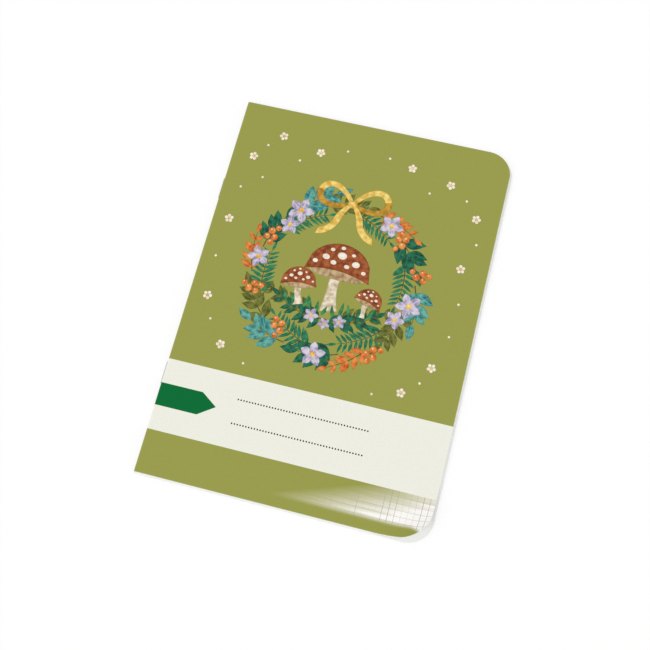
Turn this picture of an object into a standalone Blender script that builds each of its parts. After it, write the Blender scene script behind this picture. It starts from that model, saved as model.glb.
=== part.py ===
"""An A5 school notebook, closed: a folded card cover, ten folded sheets and two wire staples."""

import math

import bmesh
import bpy
from mathutils import Matrix, Vector

# Driving sizes, in metres. +Z is up out of the front cover, +Y the head of the page, +X the fore edge.
PAGE_HEIGHT = 0.210  # head to foot of every sheet
FLAT_HALF_WIDTH = 0.148  # from the fold to the fore edge, before folding
CORNER_RADIUS = 0.013  # at the fore edge, head and foot
CORNER_SEGMENTS = 12
FOOT_SLIP = 0.0008  # how much lower the sheets sit than the cover

SHEET_COUNT = 10  # each sheet is two leaves
LEAF_THICKNESS = 0.00010
COVER_THICKNESS = 0.00024
SHEET_GAP = 0.000015  # air between neighbours in the pile
CENTRE_GAP = 0.00010  # between the two innermost leaves, which the turned legs hold apart
FOLD_SEGMENTS = 12  # facets round a whole fold
FOLD_FLAT = 0.00015  # least flat stretch on a staying fold, past its round
SEAM = 0.00003  # between the stretches of one folded sheet

WIRE_DIAMETER = 0.0005
WIRE_SIDES_RESOLUTION = 2
STAPLE_CROWN = 0.012  # between the centres of the legs
STAPLE_SPACING = 0.105  # between the middles of the staples
CLINCH_LENGTH = 0.0045  # turned part of each leg
BEND_RADIUS = 0.0003  # of the wire's centre line
BEND_STEPS = 4
WIRE_GAP = 0.00002  # between the wire and the paper that it presses on
HOLE_CLEARANCE = 0.00003
HOLE_SIDES = 12
HOLE_RIM = 0.0001  # paper left over the holes in a fold whose front half turns away

TURNING_CLEARANCE = 0.00008  # between what turns and what stays at the fold
TURNING_SIDES = 96
CUTTER_MARGIN = 0.002

# Sizes that follow
LEAF_COUNT = 2 * SHEET_COUNT
LEAF_PITCH = LEAF_THICKNESS + SHEET_GAP
PILE_HALF = CENTRE_GAP / 2 + SHEET_COUNT * LEAF_PITCH  # from the middle to the cover's inside
HALF_THICKNESS = PILE_HALF + COVER_THICKNESS
COVER_OFFSET = PILE_HALF + COVER_THICKNESS / 2  # from the middle to the cover's own middle
WIRE_RADIUS = WIRE_DIAMETER / 2
CROWN_X = -(HALF_THICKNESS + WIRE_GAP + WIRE_RADIUS)
CLINCH_X = WIRE_GAP + WIRE_RADIUS
HOLE_RADIUS = BEND_RADIUS + HOLE_CLEARANCE
POCKET_HALF = WIRE_RADIUS + WIRE_GAP
CLINCH_ROOM = CLINCH_X + WIRE_RADIUS + HOLE_CLEARANCE  # how far in from the fold line the wire needs room
AXIS_X = CROWN_X  # leaves and cover open about the middle of the staples' crowns, outside the spine
# How far from the axis what stays may reach, and where the inner edges of the flat leaves start
FIXED_RADIUS = max(math.hypot(FOLD_FLAT - AXIS_X, HALF_THICKNESS), CLINCH_ROOM - AXIS_X)
TURNING_RADIUS = FIXED_RADIUS + TURNING_CLEARANCE
STAY_HEIGHT = HOLE_RADIUS + HOLE_RIM  # over the fold line: below it every fold stays on the staples


def leaf_offset(number):
    """Height of a leaf's middle over the fold line, for leaves counted from the front."""
    from_middle = number - (SHEET_COUNT + 0.5)
    offset = CENTRE_GAP / 2 + LEAF_THICKNESS / 2 + (abs(from_middle) - 0.5) * LEAF_PITCH
    return -math.copysign(offset, from_middle)


def reach(offset):
    """How far a half sheet goes out from the fold line: its fold uses up what lies inside it."""
    return FLAT_HALF_WIDTH - abs(offset)


# The fold line is the middle of the nest of folds. The origin is under the middle of the closed notebook.
LOWEST_X = CROWN_X - WIRE_RADIUS
HIGHEST_X = reach(leaf_offset(SHEET_COUNT))
FOLD_LINE = Vector((-(LOWEST_X + HIGHEST_X) / 2, FOOT_SLIP / 2, HALF_THICKNESS))
SPINE_LINE = FOLD_LINE + Vector((AXIS_X, 0, 0))


def clear_objects():
    for old in list(bpy.data.objects):
        bpy.data.objects.remove(old, do_unlink=True)


def new_collection(name):
    made = bpy.data.collections.new(name)
    bpy.context.scene.collection.children.link(made)
    return made


def material(name, colour, roughness, metallic=0.0):
    made = bpy.data.materials.new(name)
    made.use_nodes = True
    shader = made.node_tree.nodes["Principled BSDF"]
    shader.inputs["Base Color"].default_value = (*colour, 1.0)
    shader.inputs["Roughness"].default_value = roughness
    shader.inputs["Metallic"].default_value = metallic
    made.diffuse_color = (*colour, 1.0)
    return made


def add_object(name, mesh, collection, finish=None, parent=None):
    made = bpy.data.objects.new(name, mesh)
    collection.objects.link(made)
    made.parent = parent
    if finish is not None:
        mesh.materials.append(finish)
    return made


def takes_its_bend(offset, thickness):
    """Whether a front half is far enough out to carry the upper part of its own fold when it turns."""
    return offset - thickness / 2 > STAY_HEIGHT + SEAM


def seam_angle(offset, height):
    """Where a fold reaches a height over the fold line, on the spine's side."""
    return math.pi - math.asin(height / offset)


def half_sheet(name, offset, thickness, slip, finish, parent):
    """A leaf or a cover half: a slab out to its reach, its two fore-edge corners rounded."""
    whole = takes_its_bend(offset, thickness)
    start = SEAM if whole else 0.0
    width = reach(offset) - start
    bm = bmesh.new()
    bmesh.ops.create_cube(bm, size=1.0)
    bmesh.ops.scale(bm, vec=(width, PAGE_HEIGHT, thickness), verts=bm.verts)
    bmesh.ops.translate(bm, vec=(start + width / 2, -slip, offset), verts=bm.verts)
    corners = [
        edge
        for edge in bm.edges
        if abs(edge.verts[0].co.z - edge.verts[1].co.z) > thickness / 2
        and edge.verts[0].co.x > width / 2
    ]
    bmesh.ops.bevel(
        bm, geom=corners, offset=CORNER_RADIUS, segments=CORNER_SEGMENTS, profile=0.5, affect="EDGES"
    )
    bmesh.ops.recalc_face_normals(bm, faces=bm.faces)
    made = hang_on_axis(name, bm, finish, parent)
    if not whole:
        cut(made, turning_cutter)
    return made


def drawn_strip(section, slip):
    """The surface that a section in the X-Z plane makes, drawn from the foot of the sheet to its head."""
    bm = bmesh.new()
    foot = -PAGE_HEIGHT / 2 - slip
    line = [bm.verts.new((x, foot, z)) for x, z in section]
    edges = [bm.edges.new(pair) for pair in zip(line, line[1:])]
    drawn = bmesh.ops.extrude_edge_only(bm, edges=edges)
    head = [item for item in drawn["geom"] if isinstance(item, bmesh.types.BMVert)]
    bmesh.ops.translate(bm, vec=(0, PAGE_HEIGHT, 0), verts=head)
    bmesh.ops.recalc_face_normals(bm, faces=bm.faces)
    return bm


def fold_arc(offset, start_angle, end_angle):
    """Points round a fold, in facets of the same angle for every fold."""
    steps = max(2, round(abs(end_angle - start_angle) / math.pi * FOLD_SEGMENTS))
    points = []
    for step in range(steps + 1):
        angle = start_angle + (end_angle - start_angle) * step / steps
        points.append((offset * math.cos(angle), offset * math.sin(angle)))
    return points


def give_thickness(made, thickness):
    wall = made.modifiers.new("Paper thickness", "SOLIDIFY")
    wall.thickness = thickness
    wall.offset = 0.0
    wall.use_even_offset = True


def staying_fold(name, offset, thickness, slip, finish, parent):
    """What stays on the staples of a folded sheet: a wide fold lacks what turns with its front half."""
    flat = AXIS_X + math.sqrt(FIXED_RADIUS**2 - (offset + thickness / 2) ** 2)
    section = [(flat, -offset)]
    if takes_its_bend(offset, thickness):
        section += fold_arc(offset, 1.5 * math.pi, seam_angle(offset, STAY_HEIGHT))
    else:
        section += fold_arc(offset, 1.5 * math.pi, 0.5 * math.pi)
        section += [(flat, offset)]
    mesh = bpy.data.meshes.new(name)
    bm = drawn_strip(section, slip)
    bm.to_mesh(mesh)
    bm.free()
    made = add_object(name, mesh, parts, finish, parent)
    give_thickness(made, thickness)
    for hole in leg_holes:
        cut(made, hole)
    if offset - thickness / 2 < POCKET_HALF:
        for pocket in clinch_pockets:
            cut(made, pocket)
    return made


def turning_bend(name, offset, thickness, slip, finish, parent):
    """The upper part of a wide fold, which turns with its front half."""
    section = fold_arc(offset, seam_angle(offset, STAY_HEIGHT + SEAM), 0.5 * math.pi)
    made = hang_on_axis(name, drawn_strip(section, slip), finish, parent)
    give_thickness(made, thickness)
    return made


def hang_on_axis(name, bm, finish, parent):
    """A piece drawn round the fold line, made an object with its origin on the axis it turns about."""
    bmesh.ops.translate(bm, vec=(-AXIS_X, 0, 0), verts=bm.verts)
    mesh = bpy.data.meshes.new(name)
    bm.to_mesh(mesh)
    bm.free()
    return add_object(name, mesh, parts, finish, parent)


def cut(target, cutter):
    modifier = target.modifiers.new(cutter.name, "BOOLEAN")
    modifier.operation = "DIFFERENCE"
    modifier.solver = "EXACT"
    modifier.object = cutter


def as_cutter(made, name):
    made.name = name
    made.parent = fold_line
    made.hide_render = True
    made.display_type = "WIRE"
    for collection in list(made.users_collection):
        collection.objects.unlink(made)
    cutters.objects.link(made)
    return made


def cylinder_cutter(name, radius, sides, place, length, turn):
    bpy.ops.mesh.primitive_cylinder_add(
        vertices=sides, radius=radius, depth=length, location=place, rotation=turn
    )
    return as_cutter(bpy.context.object, name)


def make_leg_holes():
    """One for each leg of a staple, from outside the spine to behind the turned legs."""
    start = CROWN_X - CUTTER_MARGIN
    length = CLINCH_ROOM - start
    across = (0, math.pi / 2, 0)
    made = []
    for middle in staple_middles:
        for side in (-1, 1):
            place = (start + length / 2, middle + side * STAPLE_CROWN / 2, 0)
            name = f"leg_hole_{len(made) + 1}"
            made.append(cylinder_cutter(name, HOLE_RADIUS, HOLE_SIDES, place, length, across))
    return made


def make_clinch_pockets():
    """Room between the innermost sheets for each turned leg, from its own hole to its tip."""
    start = WIRE_GAP / 2
    inner_end = STAPLE_CROWN / 2 - CLINCH_LENGTH - HOLE_CLEARANCE
    length = STAPLE_CROWN / 2 + HOLE_RADIUS - inner_end
    made = []
    for middle in staple_middles:
        for side in (-1, 1):
            place = ((start + CLINCH_ROOM) / 2, middle + side * (inner_end + length / 2), 0)
            bpy.ops.mesh.primitive_cube_add(size=1.0, location=place)
            made.append(as_cutter(bpy.context.object, f"clinch_pocket_{len(made) + 1}"))
            made[-1].scale = (CLINCH_ROOM - start, length, 2 * POCKET_HALF)
    return made


def bend(centre, start_angle, end_angle):
    """Points of a wire's centre line round one bend, in the plane of the staple."""
    points = []
    for step in range(BEND_STEPS + 1):
        angle = start_angle + (end_angle - start_angle) * step / BEND_STEPS
        points.append((centre[0] + BEND_RADIUS * math.cos(angle), centre[1] + BEND_RADIUS * math.sin(angle)))
    return points


def staple(name, middle, finish, parent):
    """Wire bent to a staple: the crown outside the spine, both legs turned in towards each other."""
    leg = STAPLE_CROWN / 2
    quarter = math.pi / 2
    half = [(CLINCH_X, leg - CLINCH_LENGTH)]
    half += bend((CLINCH_X - BEND_RADIUS, leg - BEND_RADIUS), 0, quarter)
    half += bend((CROWN_X + BEND_RADIUS, leg - BEND_RADIUS), quarter, 2 * quarter)
    line = half + [(x, -y) for x, y in reversed(half)]
    curve = bpy.data.curves.new(name, "CURVE")
    curve.dimensions = "3D"
    curve.bevel_depth = WIRE_RADIUS
    curve.bevel_resolution = WIRE_SIDES_RESOLUTION
    curve.use_fill_caps = True
    spline = curve.splines.new("POLY")
    spline.points.add(len(line) - 1)
    for point, (x, y) in zip(spline.points, line):
        point.co = (x, y, 0, 1)
    curve.materials.append(finish)
    made = bpy.data.objects.new(name, curve)
    parts.objects.link(made)
    made.location = (0, middle, 0)
    made.parent = parent
    return made


clear_objects()
parts = new_collection("notebook")
cutters = new_collection("cutters")

card = material("olive card", (0.32, 0.34, 0.08), 0.35)
paper = material("ruled paper", (0.90, 0.90, 0.88), 0.85)
steel = material("steel wire", (0.72, 0.73, 0.75), 0.3, 1.0)

spine_line = add_object("spine_line", None, parts)
spine_line.location = SPINE_LINE
fold_line = add_object("fold_line", None, parts, parent=spine_line)
fold_line.location = (-AXIS_X, 0, 0)

staple_middles = (-FOOT_SLIP / 2 + STAPLE_SPACING / 2, -FOOT_SLIP / 2 - STAPLE_SPACING / 2)
turning_cutter = cylinder_cutter(
    "turning_room",
    TURNING_RADIUS,
    TURNING_SIDES,
    (AXIS_X, 0, 0),
    PAGE_HEIGHT + 2 * (FOOT_SLIP + CUTTER_MARGIN),
    (math.pi / 2, 0, 0),
)
leg_holes = make_leg_holes()
clinch_pockets = make_clinch_pockets()

# What stays: the back of the cover, the folds of the cover and of the sheets, and the staples
back_cover = half_sheet("back_cover", -COVER_OFFSET, COVER_THICKNESS, 0, card, spine_line)
staying_fold("cover_spine", COVER_OFFSET, COVER_THICKNESS, 0, card, fold_line)
for number in range(1, SHEET_COUNT + 1):
    offset = leaf_offset(number)
    staying_fold(f"sheet_fold_{number:02d}", offset, LEAF_THICKNESS, FOOT_SLIP, paper, fold_line)
for name, middle in zip(("staple_top", "staple_bottom"), staple_middles):
    staple(name, middle, steel, fold_line)

# What turns, from the back up, each piece on the one under it
below = back_cover
for number in range(LEAF_COUNT, 0, -1):
    offset = leaf_offset(number)
    below = half_sheet(f"leaf_{number:02d}", offset, LEAF_THICKNESS, FOOT_SLIP, paper, below)
    if takes_its_bend(offset, LEAF_THICKNESS):
        turning_bend(f"leaf_{number:02d}_bend", offset, LEAF_THICKNESS, FOOT_SLIP, paper, below)
front_cover = half_sheet("front_cover", COVER_OFFSET, COVER_THICKNESS, 0, card, below)
turning_bend("front_cover_bend", COVER_OFFSET, COVER_THICKNESS, 0, card, front_cover)

print(f"closed: {HIGHEST_X - LOWEST_X:.5f} x {PAGE_HEIGHT + FOOT_SLIP:.5f} x {2 * HALF_THICKNESS:.5f} m")
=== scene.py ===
import math
import random

import bmesh
import bpy
from mathutils import Matrix, Quaternion, Vector


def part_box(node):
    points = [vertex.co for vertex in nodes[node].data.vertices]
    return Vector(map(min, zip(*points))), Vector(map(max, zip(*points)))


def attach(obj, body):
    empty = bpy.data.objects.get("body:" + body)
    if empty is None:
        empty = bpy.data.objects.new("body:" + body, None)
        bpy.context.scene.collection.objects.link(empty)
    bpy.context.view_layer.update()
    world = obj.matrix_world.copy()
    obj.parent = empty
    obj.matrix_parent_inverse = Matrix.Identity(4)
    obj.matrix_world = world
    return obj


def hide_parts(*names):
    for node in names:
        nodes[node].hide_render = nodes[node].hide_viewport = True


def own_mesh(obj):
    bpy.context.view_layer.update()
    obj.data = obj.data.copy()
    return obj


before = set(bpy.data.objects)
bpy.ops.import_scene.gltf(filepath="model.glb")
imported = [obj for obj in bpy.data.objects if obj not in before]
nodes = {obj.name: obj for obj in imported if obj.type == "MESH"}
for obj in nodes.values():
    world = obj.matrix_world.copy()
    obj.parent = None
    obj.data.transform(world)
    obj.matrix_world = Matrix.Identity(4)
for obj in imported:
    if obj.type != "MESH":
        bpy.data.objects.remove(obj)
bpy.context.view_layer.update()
print("frame loaded:", len(nodes), "solids")

mm = 0.001
sheetSeam = 0.03 * mm  # right of the fold line, where the solids of one folded piece meet
weldReach = 0.001 * mm  # points nearer to each other than this are one
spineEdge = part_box("cover_spine")[0].x  # the closed cover's left edge
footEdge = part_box("front_cover")[0].y
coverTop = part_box("front_cover")[1].z
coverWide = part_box("front_cover")[1].x - spineEdge
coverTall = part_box("front_cover")[1].y - footEdge
cornerRadius = 13 * mm
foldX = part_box("front_cover")[0].x - sheetSeam  # the line that every sheet is folded round
foldZ = coverTop / 2
outerRadius = coverTop / 2

noiseSpan = (0.3, 0.7)  # nearly all of a noise lies between these


def tint(code):  # sRGB hex to the linear values that a socket takes
    values = [int(code[at:at + 2], 16) / 255 for at in (1, 3, 5)]
    return (*(v / 12.92 if v <= 0.04045 else ((v + 0.055) / 1.055) ** 2.4 for v in values), 1.0)


# Inputs come in order or by name. It gives the output socket that out says, or the node where that is None
def addNode(tree, kind, inputs, out=0, **settings):
    made = tree.nodes.new("ShaderNode" + kind)
    for name, value in settings.items():
        setattr(made, name, value)
    for name, value in inputs.items() if isinstance(inputs, dict) else enumerate(inputs):
        if isinstance(value, bpy.types.NodeSocket):
            tree.links.new(value, made.inputs[name])
        else:
            made.inputs[name].default_value = value
    return made if out is None else made.outputs[out]


def startMaterial(name):
    made = bpy.data.materials.new(name)
    made.use_nodes = True
    made.node_tree.nodes.clear()
    return made, made.node_tree


# looks gives the surface's inputs, from the tree and from the coordinates in it
def makeMaterial(name, looks, *choices):
    made, tree = startMaterial(name)
    places = addNode(tree, "TexCoord", (), None).outputs
    shader = addNode(tree, "BsdfPrincipled", looks(tree, places, *choices))
    addNode(tree, "OutputMaterial", {"Surface": shader}, None)
    return made


def deselectAll():
    if bpy.context.mode != "OBJECT":
        bpy.ops.object.mode_set(mode="OBJECT")
    bpy.ops.object.select_all(action="DESELECT")


def choose(piece, mode, test):  # selects the points or edges whose middle passes the test
    bpy.ops.mesh.select_mode(type=mode)
    bpy.ops.mesh.select_all(action="DESELECT")
    form = bmesh.from_edit_mesh(piece.data)
    for part in {"VERT": form.verts, "EDGE": form.edges}[mode]:
        corners = [part] if mode == "VERT" else list(part.verts)
        if test(sum((v.co for v in corners), Vector()) / len(corners)):
            part.select_set(True)
    form.select_flush_mode()
    bmesh.update_edit_mesh(piece.data)


def pickOnly(piece):
    deselectAll()
    piece.select_set(True)
    bpy.context.view_layer.objects.active = piece


def applyPlace():
    bpy.ops.object.transform_apply(location=True, rotation=True, scale=True)


def weldAll():  # merges doubles, then turns all faces outwards
    bpy.ops.mesh.select_all(action="SELECT")
    bpy.ops.mesh.remove_doubles(threshold=weldReach)
    bpy.ops.mesh.normals_make_consistent(inside=False)


def startPiece(name, adding, **options):  # runs an operator that adds a thing, and names what it adds
    deselectAll()
    adding(**options)
    piece = bpy.context.object
    piece.name = piece.data.name = name
    return piece


def startPlane(name, low, high):
    middle = (Vector(low) + Vector(high)) / 2
    piece = startPiece(name, bpy.ops.mesh.primitive_plane_add, size=1, location=middle)
    piece.scale = (high[0] - low[0], high[1] - low[1], 1)
    applyPlace()
    return piece


def fromNearest(tree, value, start, pitch):  # distance from the nearest of even lines, one of them at start
    offset = addNode(tree, "Math", (value, start), operation="SUBTRACT")
    return addNode(tree, "Math", (offset, pitch / 2), operation="PINGPONG")


def reliefOf(tree, place, relief):  # the surface's normal over fine unevenness
    across, detail, depth, strength = relief
    height = addNode(tree, "TexNoise", {"Vector": place, "Scale": 1 / (across * mm), "Detail": detail})
    return addNode(tree, "Bump", {"Strength": strength, "Distance": depth * mm, "Height": height})


# The printed cover, in mm on the front laid flat: x from the spine's outer edge, y from the foot
printPlan = {
    "olive": "#999C4C", "cream": "#EEEEE2", "tagGreen": "#006B33", "dotInk": "#131513", "core": "#F1EFE6",
    "bandFoot": 22.3, "bandHead": 59.6,
    "tagMiddle": 40.8, "tagHalf": 5.9, "tagShoulder": 22.4, "tagTip": 30.9,
    "wrap": 3.4,  # band and tag end here behind the fold
    "lineRows": (47.3, 34.83), "lineStart": 40.1,
    # dotted lines as long as the real ones, in coarser dots: the real pitch of 1.09 would run into one line
    "dots": 46, "dotPitch": 1.486, "dotSize": (0.78, 0.9),
    "fadeCream": "#E9E2C8", "fadeWhite": "#FEFBF7",
    "fadeFrom": (74.0, 8.5), "fadeLean": 2.9, "fadeRun": 52.0,  # it starts further right the higher it is
    "fadeFoot": 4.6, "fadeFull": 8.1,
    "dipFrom": 137.0, "dip": 0.05,
    "streak": (28.0, 1.5),  # length and height of the streaks in the fade
    "ruleInk": "#74775F", "rulePitch": 3.14, "ruleFrom": (142.3, 13.2), "ruleWidth": 0.26,
    # where each strength of the upright rules begins: the print's screen swallows some and keeps others
    "ruleWeights": (
        (0, 0.15), (96.7, 0.4), (99.9, 0.15), (109.3, 0.7), (112.4, 0.15), (121.9, 0.8), (125.1, 1.0),
        (128.2, 0.8), (131.4, 0.3), (137.6, 0.4), (140.8, 1.0), (143.9, 0.8), (147.0, 0.5),
    ),
    "levelWeight": 0.6,
    "ruleShows": (0.1, 0.75),  # the rules come up between these strengths of the fade
    "ruleStrength": 0.7,
    "streakGain": (0.93, 1.2),
    "mottle": 0.9, "density": (0.975, 1.02),  # how far across, how dark and how light
    "peel": (0.5, 2.0, 0.01, 0.08),  # a relief: mm across, detail, mm deep, strength
    "sheenChange": (-0.04, 0.06),  # of the varnish's roughness, where the ink lies thin and thick
    "rub": 0.3, "ragged": 0.3, "coreShows": 0.4,  # width of the rubbed edge, its raggedness, how bare it is
}
# One thin dispersion varnish lies over the card and the picture on it: a low, even sheen
varnish = {"Roughness": 0.42, "IOR": 1.46, "Specular IOR Level": 0.1}


# Offset print on bleached carton, varnished: even ink with a faint mottle, a sheen that fine orange peel
# breaks up, and a hint of the white core where the edge is rubbed
def printedCard(tree, places, wholeFront):
    plan = printPlan
    place = flat = places["Object"]
    if wholeFront:  # the place before the corner was lifted
        flat = addNode(tree, "Attribute", (), "Vector", attribute_name="flatPlace")
    inMm = addNode(tree, "Mapping", {
        "Vector": flat, "Location": (-spineEdge / mm, -footEdge / mm, 0), "Scale": (1 / mm, 1 / mm, 0),
    }, vector_type="POINT")
    apart = addNode(tree, "SeparateXYZ", (inMm,), None)
    x, y = apart.outputs[0], apart.outputs[1]

    band = addNode(tree, "Math", (
        y, (plan["bandFoot"] + plan["bandHead"]) / 2, (plan["bandHead"] - plan["bandFoot"]) / 2,
    ), operation="COMPARE")
    offMiddle = addNode(tree, "Math", (y, plan["tagMiddle"]), operation="SUBTRACT")
    fromMiddle = addNode(tree, "Math", (offMiddle,), operation="ABSOLUTE")
    slope = (plan["tagTip"] - plan["tagShoulder"]) / plan["tagHalf"]
    tagEnd = addNode(tree, "Math", (fromMiddle, -slope, plan["tagTip"]), operation="MULTIPLY_ADD")
    inLength = addNode(tree, "Math", (x, tagEnd), operation="LESS_THAN")
    inHeight = addNode(tree, "Math", (fromMiddle, plan["tagHalf"]), operation="LESS_THAN")
    tag = addNode(tree, "Math", (inLength, inHeight), operation="MULTIPLY")
    if not wholeFront:
        onWrap = addNode(tree, "Math", (x, plan["wrap"]), operation="LESS_THAN")
        band = addNode(tree, "Math", (band, onWrap), operation="MULTIPLY")
        tag = addNode(tree, "Math", (tag, onWrap), operation="MULTIPLY")

    shown = tint(plan["olive"])
    printed = [(band, plan["cream"]), (tag, plan["tagGreen"])]
    if wholeFront:
        shown = squaresInFade(tree, x, y)
        printed.append((writingLines(tree, x, y), plan["dotInk"]))
    for where, colour in printed:
        shown = addNode(tree, "Mix", {0: where, 6: shown, 7: tint(colour)}, 2, data_type="RGBA")

    # the ink's mottle, barely darker and lighter
    mottle = addNode(tree, "TexNoise", {"Vector": place, "Scale": 1 / (plan["mottle"] * mm), "Detail": 3.0})
    dark, pale = plan["density"]
    density = addNode(tree, "MapRange", (mottle, *noiseSpan, dark, pale))
    shown = addNode(tree, "Mix", {0: 1.0, 6: shown, 7: density}, 2, data_type="RGBA", blend_type="MULTIPLY")

    # how far out towards the cut edge, round the two corners at the fore edge too
    radius = cornerRadius / mm
    tall, wide = coverTall / mm, coverWide / mm
    fromCore = addNode(tree, "VectorMath", (inMm, (0, tall / 2, 0)), operation="SUBTRACT")
    fromCore = addNode(tree, "VectorMath", (fromCore,), operation="ABSOLUTE")
    core = (wide - radius, tall / 2 - radius, 0)
    fromCore = addNode(tree, "VectorMath", (fromCore, core), operation="SUBTRACT")
    fromCore = addNode(tree, "VectorMath", (fromCore, (0, 0, 0)), operation="MAXIMUM")
    outwards = addNode(tree, "VectorMath", (fromCore,), "Value", operation="LENGTH")
    ragged = addNode(tree, "Math", (mottle, plan["ragged"], outwards), operation="MULTIPLY_ADD")
    cutEdge = radius + plan["ragged"] / 2
    rubbed = addNode(tree, "MapRange", (ragged, cutEdge - plan["rub"], cutEdge, 0, plan["coreShows"]))
    shown = addNode(tree, "Mix", {0: rubbed, 6: shown, 7: tint(plan["core"])}, 2, data_type="RGBA")

    glossy, dull = (varnish["Roughness"] + change for change in plan["sheenChange"])
    rough = addNode(tree, "MapRange", (mottle, *noiseSpan, glossy, dull))
    peel = reliefOf(tree, place, plan["peel"])
    return {**varnish, "Base Color": shown, "Roughness": rough, "Normal": peel}


def writingLines(tree, x, y):  # a row of dots for each line
    plan = printPlan
    halfLine = plan["dots"] * plan["dotPitch"] / 2
    halfWide, halfTall = (size / 2 for size in plan["dotSize"])
    along = fromNearest(tree, x, plan["lineStart"] + plan["dotPitch"] / 2, plan["dotPitch"])
    along = addNode(tree, "Math", (along, halfWide), operation="DIVIDE")
    alongSquare = addNode(tree, "Math", (along, along), operation="MULTIPLY")
    inRow = addNode(tree, "Math", (x, plan["lineStart"] + halfLine, halfLine), operation="COMPARE")
    reaches = []
    for row in plan["lineRows"]:
        over = addNode(tree, "Math", (y, row), operation="SUBTRACT")
        over = addNode(tree, "Math", (over, halfTall), operation="DIVIDE")
        reaches.append(addNode(tree, "Math", (over, over, alongSquare), operation="MULTIPLY_ADD"))
    nearest = addNode(tree, "Math", reaches, operation="MINIMUM")
    dot = addNode(tree, "Math", (nearest, 1.0), operation="LESS_THAN")
    return addNode(tree, "Math", (dot, inRow), operation="MULTIPLY")


def squaresInFade(tree, x, y):  # the printed glimpse of squared paper towards the lower corner
    plan = printPlan
    fromX, fromY = plan["fadeFrom"]
    offset = plan["fadeLean"] * fromY - fromX
    lean = addNode(tree, "Math", (y, -plan["fadeLean"], offset), operation="MULTIPLY_ADD")
    across = addNode(tree, "Math", (x, lean), operation="ADD")
    rising = addNode(tree, "MapRange", (across, 0, plan["fadeRun"], 0, 1))
    # its lower edge dips at the corner, where the card lifts
    pastDip = addNode(tree, "Math", (x, plan["dipFrom"]), operation="SUBTRACT")
    pastDip = addNode(tree, "Math", (pastDip, 0.0), operation="MAXIMUM")
    dip = addNode(tree, "Math", (pastDip, pastDip), operation="MULTIPLY")
    height = addNode(tree, "Math", (dip, plan["dip"], y), operation="MULTIPLY_ADD")
    lowEdge = addNode(tree, "MapRange", (
        height, plan["fadeFoot"], plan["fadeFull"], 0, 1,
    ), interpolation_type="SMOOTHSTEP")
    fade = addNode(tree, "Math", (rising, lowEdge), operation="MULTIPLY")
    stretched = addNode(tree, "CombineXYZ", (x, y))
    stretched = addNode(tree, "VectorMath", (stretched, (*plan["streak"], 1)), operation="DIVIDE")
    streaks = addNode(tree, "TexNoise", {"Vector": stretched, "Scale": 1.0, "Detail": 1.0})
    weak, strong = plan["streakGain"]
    streaks = addNode(tree, "MapRange", (streaks, *noiseSpan, weak, strong))
    fade = addNode(tree, "Math", (fade, streaks), operation="MULTIPLY", use_clamp=True)
    cream, white = tint(plan["fadeCream"]), tint(plan["fadeWhite"])
    colour = addNode(tree, "Mix", {0: fade, 6: cream, 7: white}, 2, data_type="RGBA")
    ground = addNode(tree, "Mix", {0: fade, 6: tint(plan["olive"]), 7: colour}, 2, data_type="RGBA")

    share = addNode(tree, "Math", (x, coverWide / mm), operation="DIVIDE")
    weights = addNode(tree, "ValToRGB", (share,), None)
    weights.color_ramp.interpolation = "CONSTANT"
    for number, (start, weight) in enumerate(plan["ruleWeights"]):
        stops = weights.color_ramp.elements
        stop = stops[number] if number < 2 else stops.new(start * mm / coverWide)
        stop.position = start * mm / coverWide
        stop.color = (weight, weight, weight, 1)
    rules = []
    uprights, levels = (x, weights.outputs[0]), (y, plan["levelWeight"])
    for (value, weight), start in zip((uprights, levels), plan["ruleFrom"]):
        toRule = fromNearest(tree, value, start, plan["rulePitch"])
        onRule = addNode(tree, "Math", (toRule, plan["ruleWidth"] / 2), operation="LESS_THAN")
        rules.append(addNode(tree, "Math", (onRule, weight), operation="MULTIPLY"))
    rule = addNode(tree, "Math", rules, operation="MAXIMUM")
    faint, clear = plan["ruleShows"]
    showing = addNode(tree, "MapRange", (fade, faint, clear, 0, plan["ruleStrength"]))
    rule = addNode(tree, "Math", (rule, showing), operation="MULTIPLY")
    return addNode(tree, "Mix", {0: rule, 6: ground, 7: tint(plan["ruleInk"])}, 2, data_type="RGBA")


pagePlan = {
    "white": "#F6F7F4", "shade": "#EBECE8", "ruleInk": "#A3BBD3",
    "wide": 148.0,  # mm, as all below
    "square": 5.0, "squaresWide": 27, "squaresTall": 39, "ruleWidth": 0.17,
    "slip": 0.4,  # how far the page's middle lies below the cover's
    "cloud": (6.0, 5.0, 0.6),  # mm across, detail, roughness
    "fibre": (0.4, 2.0, 0.02, 0.15),  # real fibres are a tenth of this width and would not show at all
    "roughness": 0.92,
}
cartonPlan = {
    "white": "#F5F5F0", "shade": "#EBEAE3",
    "cloud": (4, 4.0, 0.5), "fibre": (0.6, 3.0, 0.02, 0.2),
    "roughness": 0.85,
}


# Bleached carton, its uncoated side and die-cut edge: matt white, a little warmer than the pages, cloudy
# and faintly felted. Bare fibres hardly shine
def bareFibres(tree, places, plan=cartonPlan):
    across, detail, roughness = plan["cloud"]
    cloud = addNode(tree, "TexNoise", {
        "Vector": places["Object"], "Scale": 1 / (across * mm), "Detail": detail, "Roughness": roughness,
    })
    shade, white = tint(plan["shade"]), tint(plan["white"])
    return {
        "Base Color": addNode(tree, "Mix", {0: cloud, 6: shade, 7: white}, 2, data_type="RGBA"),
        "Normal": reliefOf(tree, places["Object"], plan["fibre"]),
        "Roughness": plan["roughness"], "IOR": 1.45, "Specular IOR Level": 0.3,
    }


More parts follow.
